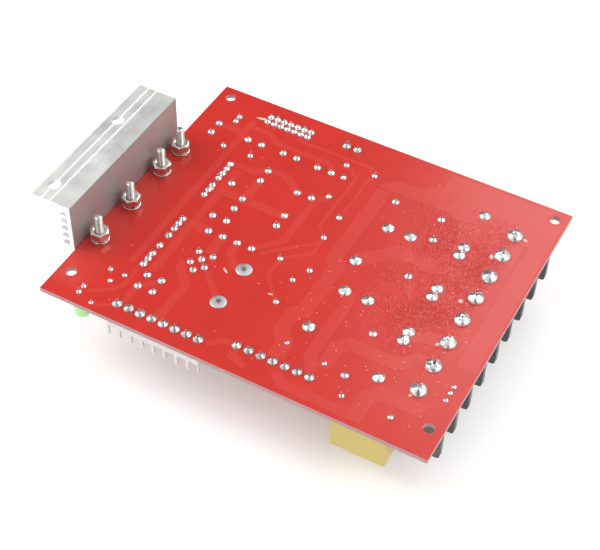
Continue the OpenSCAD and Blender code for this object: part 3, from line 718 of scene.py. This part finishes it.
nickel = plated_metal("nickel_plate", (0.80, 0.78, 0.73), 0.2)
zinc = plated_metal("spring_plate", (0.66, 0.65, 0.62), 0.28)
bolt_neck = bolt_low.z + 1.9 * MM
at_bolts(lambda: [threaded_rod(1.22 * MM, 1.45 * MM, 0.5 * MM, bolt_neck, bolt_high.z),
                  pan_head(2.8 * MM, bolt_low.z, bolt_neck)],
         "threaded_bolts", nickel, "clamp_bolts", (10, 130, 70, 200))
at_bolts(lambda: [hexagon_nut(2.75 * MM, nut_low.z, nut_high.z, 1.5 * MM)],
         "nuts", nickel, "hex_nuts", (8, 40, 22, 52))
at_bolts(lambda: [split_ring(1.6 * MM, 2.75 * MM, spring_low.z, spring_high.z, 0.1 * MM)],
         "split_washers", zinc, "spring_washers", (200, 320, 150, 260))
at_bolts(lambda: [flat_ring(1.6 * MM, 2.95 * MM, washer_low.z, washer_high.z)],
         "plain_washers", nickel, "flat_washers")

# --------------------
# The power transistors: four TO-220 packages under the foot, each with a tinned copper tab,
# a black epoxy body, a grey silicone pad behind the tab and a nylon bush under the bolt's head.


def moulded(name, color, rough, grain=1.4, depth=0.03, tint=0.88):
    """A moulded plastic or resin: a fine skin, slight drift of colour, and gloss that varies."""
    finish = Finish(name, color, rough)
    spot = finish.place()
    skin = finish.speckle(spot, grain, 4.0, 0.6)
    drift = finish.speckle(spot, grain * 0.09, 3.0)
    finish.feed("Base Color", finish.blend(skin * 0.4 + drift * 0.6, [c * tint for c in color], color))
    finish.feed("Roughness", finish.range(skin, 0.3, 0.7, rough * 0.8, rough * 1.2))
    finish.bump(skin, depth)
    return finish


tin = plated_metal("tinned_copper", (0.82, 0.81, 0.79), 0.25)
black_epoxy = moulded("black_epoxy", (0.030, 0.030, 0.032), 0.42, 3.0, 0.04)
worked_copy("transistor_tabs", "tabs", tin, 0.1)
worked_copy("transistor_bodies", "transistor_packages", black_epoxy, 0.15)
wear("insulating_pads", moulded("silicone_pad", (0.42, 0.43, 0.44), 0.7, 2.0, 0.03))
wear("insulating_bushes", moulded("nylon_bush", (0.80, 0.78, 0.70), 0.4, 1.0, 0.02))

# --------------------
# The barrier terminal: a moulded black strip with nine dividers, eight tinned brass contacts,
# and under each a loose square clamp plate on a plated screw with a cross-slotted head.

black_plastic = moulded("black_thermoplastic", (0.105, 0.107, 0.110), 0.46, 2.2, 0.05, 0.9)
worked_copy("barrier_housing", "barrier_strip", black_plastic, 0.25)
brass = plated_metal("tinned_brass", (0.80, 0.77, 0.69), 0.26)
worked_copy("barrier_contacts", "contacts", brass, 0.12)
screw_steel = plated_metal("screw_plate", (0.76, 0.75, 0.71), 0.22)
for k in range(1, 9):
    worked_copy(f"wire_clamp_{k}", f"clamp_plate_{k}", screw_steel, 0.12, body=f"clamp_{k}")
    low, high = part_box(f"terminal_screw_{k}")
    middle = (low + high) / 2
    under_head = low.z + 2.4 * MM
    screw = bmesh.new()
    gather(screw, threaded_rod(1.72 * MM, 1.95 * MM, 0.7 * MM, under_head - 0.1 * MM, high.z))
    head = pan_head(3.35 * MM, low.z, under_head)
    for slot_turn in (0, 90):
        bar(head, (4.4 * MM, 0.8 * MM, 0.02 * MM), (0, 0, low.z + 0.009 * MM), math.radians(slot_turn))
    gather(screw, head)
    swing(screw, math.radians(37 * k), screw.verts[:])
    shift(screw, (middle.x, middle.y, 0), screw.verts[:])
    finish_piece(screw, f"screw_{k}_turned", screw_steel, f"terminal_screw_{k}", f"screw_{k}")

# --------------------
# The plug connectors: white nylon housings of eight, seven and two ways, whose upright wall
# is slotted like a comb, on square tinned pins.

white_nylon = moulded("white_nylon", (0.83, 0.81, 0.80), 0.36, 1.2, 0.02, 0.95)
for way in ("eight", "seven", "two"):
    worked_copy(f"{way}_way_connector", f"{way}_way_housing", white_nylon, 0.15)
worked_copy("connector_pins", "square_pins", brass, 0.16)

# --------------------
# The ribbon header in its shroud, and the two-pin jumper: black plastic on gold-flashed pins.

header_black = moulded("header_plastic", (0.028, 0.028, 0.030), 0.38, 2.0, 0.03)
worked_copy("ribbon_header_shroud", "shroud", header_black, 0.15)
worked_copy("jumper_header_base", "jumper_base", header_black, 0.15)
gold = plated_metal("gold_flash", (0.86, 0.66, 0.32), 0.2)
worked_copy("header_pins", "gold_pins", gold, 0.09)

# --------------------
# The electrolytic capacitors: deep-drawn aluminium cans in shrunk sleeves with a pale stripe.
# The sleeve is rolled over both shoulders, and is pinched where the can is crimped on its bung.


def sleeve_finish(name, color, stripe):
    finish = Finish(name, color, 0.3, Coat_Weight=0.3)
    spot = finish.place()
    skin = finish.speckle(spot, 1.0, 3.0)
    side = finish.node("Attribute", {"attribute_name": "side"}, out=2)
    mark = (side > 0.86) * (1.0 - (side > 0.985) * 0.75)
    finish.feed("Base Color", finish.blend(mark, color, stripe))
    finish.feed("Roughness", finish.range(skin, 0.3, 0.7, 0.22, 0.36) + mark * 0.06)
    finish.bump(skin, 0.03)
    return finish


def sleeved_cans(node, name, finish, shoulder):
    """Turned sleeves with a crimp groove near the board and a rolled shoulder at the far end."""
    maker = bmesh.new()
    side = maker.verts.layers.float.new("side")
    for i, (centre, radius, low, high) in enumerate(islands(node)):
        top, end = high.z - 0.1 * MM, low.z
        groove = top - 2.2 * MM
        profile = [(radius * 0.70, top), (radius * 0.93, top), (radius * 0.985, top - 0.2 * MM),
                   (radius, top - 0.6 * MM), (radius, groove + 0.9 * MM), (radius * 0.975, groove + 0.5 * MM),
                   (radius * 0.93, groove), (radius * 0.975, groove - 0.5 * MM), (radius, groove - 0.9 * MM),
                   (radius, end + 1.1 * MM), (radius * 0.985, end + 0.55 * MM),
                   (radius * 0.94, end + 0.18 * MM), (radius * 0.86, end),
                   (radius * shoulder, end + 0.04 * MM),
                   (radius * (shoulder - 0.01), end + 0.3 * MM)]
        made = turned_shape(maker, profile, 48)
        for v in made:
            v[side] = math.cos(math.atan2(v.co.y, v.co.x) - i * 1.3)
        shift(maker, (centre.x, centre.y, 0), made)
    outward(maker)
    finish_piece(maker, name, finish, node)


can_metal = plated_metal("can_aluminium", (0.84, 0.84, 0.85), 0.3)
dark_sleeve = sleeve_finish("dark_sleeve", (0.020, 0.028, 0.060), (0.62, 0.62, 0.60))
blue_sleeve = sleeve_finish("blue_sleeve", (0.018, 0.040, 0.150), (0.70, 0.72, 0.74))
sleeved_cans("bulk_capacitor_sleeves", "bulk_sleeves", dark_sleeve, 0.82)
worked_copy("bulk_capacitor_cans", "bulk_cans", can_metal, 0.15)
vents = bmesh.new()
for centre, radius, low, _ in islands("small_capacitor_sleeves"):
    made = turned_shape(vents, [(0.0, low.z + 0.12 * MM), (radius * 0.8, low.z + 0.12 * MM),
                                (radius * 0.88, low.z + 0.3 * MM), (radius * 0.88, low.z + 1.0 * MM)], 40)
    for turn in (0, 60, 120):
        score = (radius * 1.2, 0.16 * MM, 0.05 * MM)
        made += bar(vents, score, (0, 0, low.z + 0.11 * MM), math.radians(turn))
    shift(vents, (centre.x, centre.y, 0), made)
outward(vents)
finish_piece(vents, "small_can_ends", can_metal)
sleeved_cans("small_capacitor_sleeves", "small_sleeves", blue_sleeve, 0.84)
bung = moulded("black_rubber", (0.035, 0.033, 0.032), 0.75, 2.0, 0.05)
wear("bulk_capacitor_seals", bung)
wear("small_capacitor_seals", bung)

# --------------------
# The film, ceramic and suppression capacitors: red and yellow boxes cast full of resin, and
# blue lacquered discs.

red_film = moulded("red_film", (0.42, 0.055, 0.030), 0.28, 0.8, 0.03, 0.85)
worked_copy("film_capacitors", "film_boxes", red_film, 0.45, 3)
blue_ceramic = moulded("blue_ceramic", (0.045, 0.15, 0.42), 0.3, 0.7, 0.10, 0.8)
worked_copy("disc_capacitors", "ceramic_discs", blue_ceramic, 0.35, 3)
yellow_box = moulded("yellow_box", (0.69, 0.55, 0.165), 0.38, 0.9, 0.04, 0.93)
worked_copy("suppression_capacitor", "yellow_capacitor", yellow_box, 0.4, 3)

# --------------------
# The lying parts: resistors with a bulge at each end and painted value bands, and moulded
# diodes with a silver band at the cathode.


def banded(name, body, bands, rough, coat=0.0):
    """Lacquer with rings of paint: each band is (share of the length, width, colour)."""
    finish = Finish(name, body, rough, Coat_Weight=coat)
    along = finish.node("Attribute", {"attribute_name": "along"}, out=2)
    skin = finish.speckle(finish.place(), 1.6, 3.0)
    stops = [(0.0, body)]
    for place, width, color in bands:
        stops += [(place - width / 2, color), (place + width / 2, body)]
    finish.feed("Base Color", finish.node("ValToRGB", {"stops": stops}, {"Fac": along}))
    finish.tree.nodes["Color Ramp"].color_ramp.interpolation = "CONSTANT"
    finish.feed("Roughness", finish.range(skin, 0.3, 0.7, rough * 0.8, rough * 1.25))
    finish.bump(skin, 0.03)
    return finish


def lying_parts(node, name, finish, outline):
    """Turned bodies laid down on their axes: the outline is (share of length, share of radius)."""
    maker = bmesh.new()
    along = maker.verts.layers.float.new("along")
    for centre, _, low, high in islands(node):
        size = high - low
        lies_in_x = size.x > size.y
        length, radius = max(size.x, size.y), size.z / 2
        made = turned_shape(maker, [(radius * r, length * (t - 0.5)) for t, r in outline], 24)
        for v in made:
            v[along] = v.co.z / length + 0.5
        swing(maker, math.pi / 2, made, "Y" if lies_in_x else "X")
        shift(maker, centre, made)
    outward(maker)
    finish_piece(maker, name, finish, node)


bulge = [(0, 0), (0, 0.45), (0.02, 0.78), (0.06, 0.95), (0.13, 1.0), (0.22, 0.98), (0.28, 0.88), (0.33, 0.84)]
dog_bone = bulge + [(1 - t, r) for t, r in reversed(bulge)]
lying_parts("small_resistors", "small_resistor_bodies",
            banded("resistor_lacquer", (0.16, 0.36, 0.50),
                   [(0.15, 0.08, (0.30, 0.12, 0.04)), (0.36, 0.07, (0.01, 0.01, 0.01)),
                    (0.49, 0.07, (0.01, 0.01, 0.01)), (0.62, 0.07, (0.45, 0.03, 0.02)),
                    (0.85, 0.08, (0.30, 0.12, 0.04))], 0.32, 0.3), dog_bone)
lying_parts("power_resistors", "power_resistor_bodies",
            banded("grey_cement", (0.20, 0.23, 0.22),
                   [(0.17, 0.07, (0.60, 0.42, 0.02)), (0.36, 0.06, (0.20, 0.02, 0.20)),
                    (0.50, 0.06, (0.01, 0.01, 0.01)), (0.83, 0.07, (0.50, 0.36, 0.10))], 0.55),
            dog_bone)
lying_parts("power_diodes", "diode_bodies",
            banded("diode_epoxy", (0.030, 0.030, 0.032), [(0.84, 0.12, (0.62, 0.62, 0.62))], 0.4),
            [(0, 0), (0, 0.8), (0.015, 0.93), (0.04, 1.0), (0.96, 1.0), (0.985, 0.93), (1, 0.8), (1, 0)])

# --------------------
# The moulded packages: a bridge rectifier, two small transistors, the control chip and the
# gate drivers, all in black epoxy. With them, the solder posts and the leads of every part.

for node, name, edge in (("bridge_rectifier", "bridge_package", 0.3),
                         ("small_transistors", "small_packages", 0.15),
                         ("controller_chip", "control_package", 0.08),
                         ("gate_driver_chips", "driver_packages", 0.08)):
    worked_copy(node, name, black_epoxy, edge)
worked_copy("solder_posts", "posts", brass, 0.1)
worked_copy("component_leads", "leads", tin, 0.03, 1, angle=60)

# --------------------
# The trimmer: a blue moulded body round a white rotor, whose cross slot takes a driver.

blue_plastic = moulded("blue_plastic", (0.030, 0.10, 0.38), 0.35, 1.2, 0.03)
white_plastic = moulded("white_plastic", (0.80, 0.78, 0.72), 0.4, 1.2, 0.02, 0.93)
worked_copy("trimmer_body", "trimmer_case", blue_plastic, 0.15)
worked_copy("trimmer_rotor", "trimmer_disc", white_plastic, 0.1, body="trimmer_wheel")

# --------------------
# The indicator: a 5 mm lamp in tinted, diffused green epoxy with a flange at its foot.

lamp_low, lamp_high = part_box("indicator_led")
lamp_middle = (lamp_low + lamp_high) / 2
lamp_radius = 2.5 * MM
lamp_line = [(0.0, lamp_high.z), (2.75 * MM, lamp_high.z), (2.9 * MM, lamp_high.z - 0.12 * MM),
             (2.9 * MM, lamp_high.z - 0.88 * MM), (2.8 * MM, lamp_high.z - 1.0 * MM),
             (2.5 * MM, lamp_high.z - 1.05 * MM)]
for step in range(0, 91, 9):
    lamp_line.append((lamp_radius * math.cos(math.radians(step)),
                      lamp_low.z + lamp_radius * (1 - math.sin(math.radians(step)))))
lamp_line[-1] = (0.0, lamp_low.z)
lamp = bmesh.new()
turned_shape(lamp, lamp_line, 40, (lamp_middle.x, lamp_middle.y, 0))
outward(lamp)
# The lens is given a faint green glow: painted light, standing in for light bounced up from the pale floor.
lens = Finish("green_lens", (0.42, 0.84, 0.34), 0.22, Transmission_Weight=0.2, IOR=1.5,
              Emission_Color=(0.6, 1.0, 0.5, 1.0), Emission_Strength=0.12)
lens.mottle(0.35, 2.0, (0.38, 0.78, 0.30), (0.56, 0.92, 0.46), (0.18, 0.3))
finish_piece(lamp, "green_lamp", lens, "indicator_led")

# --------------------
# The choke: a green coated ferrite ring that stands on edge, wound with one layer of thick
# enamelled wire, whose ends go down through the board.



def squared(share):
    """Pushes a sine or cosine outwards, so that a turn of wire follows a square section."""
    return math.copysign(abs(share) ** 0.45, share)


core_low, core_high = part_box("choke_core")
core_middle = (core_low + core_high) / 2
wire = 0.7 * MM
ring_out, half_width = (core_high.z - core_low.z) / 2 + wire, (core_high.x - core_low.x) / 2 + wire
core_bore = 5.0 * MM
ring_in = core_bore - wire
lead_out = 7.5 * MM
lead_end = SOLDER_FACE + 0.3 * MM - core_middle.z
first = math.asin(lead_out / ring_out)
turns, per_turn = 15, 20
path = [Vector((0, lead_out, lead_end))]
for i in range(turns * per_turn + 1):
    u = 0.25 + i / per_turn
    around = first + (math.tau - 2 * first) * i / (turns * per_turn)
    sideways = half_width * squared(math.cos(math.tau * u))
    out = (ring_out + ring_in) / 2 + (ring_out - ring_in) / 2 * squared(math.sin(math.tau * u))
    path.append(Vector((sideways, out * math.sin(around), out * math.cos(around))))
path.append(Vector((0, -lead_out, lead_end)))
coil = bpy.data.curves.new("coil", "CURVE")
coil.dimensions = "3D"
coil.bevel_depth = wire
coil.bevel_resolution = 2
coil.use_fill_caps = True
strand = coil.splines.new("POLY")
strand.points.add(len(path) - 1)
for point, spot in zip(strand.points, path):
    point.co = (*(spot + core_middle), 1.0)
coil_object = add_object("coil", coil)
coil_mesh = bpy.data.meshes.new_from_object(coil_object.evaluated_get(bpy.context.evaluated_depsgraph_get()))
bpy.data.objects.remove(coil_object)
winding = bmesh.new()
winding.from_mesh(coil_mesh)
bpy.data.meshes.remove(coil_mesh)
enamel = Finish("enamelled_copper", (0.50, 0.17, 0.045), 0.22, 0.55, Coat_Weight=0.6)
enamel.mottle(0.5, 3.0, (0.42, 0.13, 0.035), (0.62, 0.24, 0.07), (0.16, 0.3))
finish_piece(winding, "choke_turns", enamel, "choke_winding", smooth_deg=80)
coated_ferrite = moulded("coated_ferrite", (0.04, 0.17, 0.07), 0.45, 0.9, 0.06)
worked_copy("choke_core", "coated_ring", coated_ferrite, 0.5, 3)

# --------------------
# The board's component side: tinned pads round the leads, and the printed outlines of the
# parts in white ink, without any lettering.

pads = bmesh.new()
for centre, radius, _, _ in islands("signal_solder_joints") + islands("power_solder_joints"):
    turned_shape(pads, [(0.0, PART_FACE - 0.03 * MM), (radius * 0.8, PART_FACE - 0.03 * MM),
                        (radius * 0.86, PART_FACE - 0.01 * MM), (radius * 0.88, PART_FACE + 0.02 * MM)],
                 16, (centre.x, centre.y, 0))
outward(pads)
finish_piece(pads, "part_side_pads", bright_solder("tinned_pads", 0.1))

ink = bmesh.new()
LINE = 0.22


def ink_box(low, high, margin=0.5):
    """A printed rectangle round a part, on the component side."""
    x0, y0 = low.x / MM - margin, low.y / MM - margin
    x1, y1 = high.x / MM + margin, high.y / MM + margin
    for cx, cy, w, h in (((x0 + x1) / 2, y0, x1 - x0, LINE), ((x0 + x1) / 2, y1, x1 - x0, LINE),
                         (x0, (y0 + y1) / 2, LINE, y1 - y0), (x1, (y0 + y1) / 2, LINE, y1 - y0)):
        bar(ink, (w * MM, h * MM, 0.03 * MM), (cx * MM, cy * MM, PART_FACE - 0.01 * MM))


def ink_ring(centre, radius):
    turned_shape(ink, [(radius, PART_FACE), (radius, PART_FACE - 0.025 * MM),
                       (radius + LINE * MM, PART_FACE - 0.025 * MM), (radius + LINE * MM, PART_FACE)], 48,
                 (centre.x, centre.y, 0))


for node in ("small_resistors", "power_resistors", "power_diodes", "film_capacitors", "disc_capacitors",
             "suppression_capacitor", "bridge_rectifier", "controller_chip", "gate_driver_chips",
             "small_transistors", "trimmer_body", "eight_way_connector", "seven_way_connector",
             "two_way_connector", "ribbon_header_shroud", "barrier_housing", "choke_core"):
    for _, _, low, high in islands(node):
        ink_box(low, high)
for node in ("bulk_capacitor_sleeves", "small_capacitor_sleeves"):
    for centre, radius, _, _ in islands(node):
        ink_ring(centre, radius + 0.5 * MM)
outward(ink)
white_ink = moulded("white_ink", (0.80, 0.80, 0.78), 0.6, 2.0, 0.01)
finish_piece(ink, "printed_outlines", white_ink)

# --------------------
# Floor and lights: a pale floor at the height on which the module lies, and soft boxes to
# the left, to the right and behind. The room is dim where the onlooker stands, and far off
# behind.

floor_finish = Finish("pale_floor", (0.96, 0.96, 0.96), 0.7,
                      Emission_Color=(1, 1, 1, 1), Emission_Strength=0.28)
floor_finish.mottle(0.02, 2.0, (0.95, 0.95, 0.955), (0.97, 0.97, 0.97))
floor = add_object("floor", bpy.data.meshes.new("floor"))
ground = bmesh.new()
bmesh.ops.create_grid(ground, x_segments=1, y_segments=1, size=3.0)
shift(ground, (0, 0, cad_low[2]), ground.verts[:])
ground.to_mesh(floor.data)
ground.free()
floor.data.materials.append(floor_finish.material)


class Room(Finish):
    """The room round the module, put together like a finish."""

    def __init__(self, world):
        self.tree = world.node_tree


world = bpy.data.worlds.new("studio")
scene.world = world
world.use_nodes = True
room = Room(world)
way = room.node("TexCoord", out=0)


def facing(direction):
    """How nearly a way out of the room points in one direction."""
    return room.node("VectorMath", {"operation": "DOT_PRODUCT"}, {0: way, 1: direction}, out=1)


beside = facing((0.898, 0.440, 0.0)).math("ABSOLUTE")
onlooker = room.range(beside, 0.10, 0.26, 1.0, 0.0) * room.range(facing((0.44, -0.898, 0.0)), 0.15, 0.5)
far_wall = room.range(facing((-0.47, 0.86, 0.20)), 0.55, 0.92)
wall = room.node("CombineXYZ", sockets={k: 1.0 - (onlooker * 0.92 + far_wall * 0.78) for k in (0, 1, 2)})
backdrop = world.node_tree.nodes["Background"]
world.node_tree.links.new(wall.socket, backdrop.inputs["Color"])
backdrop.inputs["Strength"].default_value = 0.71


def soft_box(name, place, size, radiance):
    """An area light aimed at the module, as bright as a white wall of that radiance."""
    light = add_object(name, bpy.data.lights.new(name, "AREA"))
    light.data.shape = "RECTANGLE"
    light.data.size, light.data.size_y = size
    light.data.energy = radiance * math.pi * size[0] * size[1]
    aim = (-Vector(place)).to_track_quat("-Z", "Y")
    light.matrix_world = Matrix.Translation(place) @ aim.to_matrix().to_4x4()


soft_box("left_box", (-0.75, -0.15, 0.75), (0.7, 0.8), 3.2)
soft_box("right_box", (0.85, 0.15, 0.75), (0.7, 0.8), 2.2)
soft_box("back_box", (0.05, 1.0, 0.95), (0.74, 0.65), 2.6)
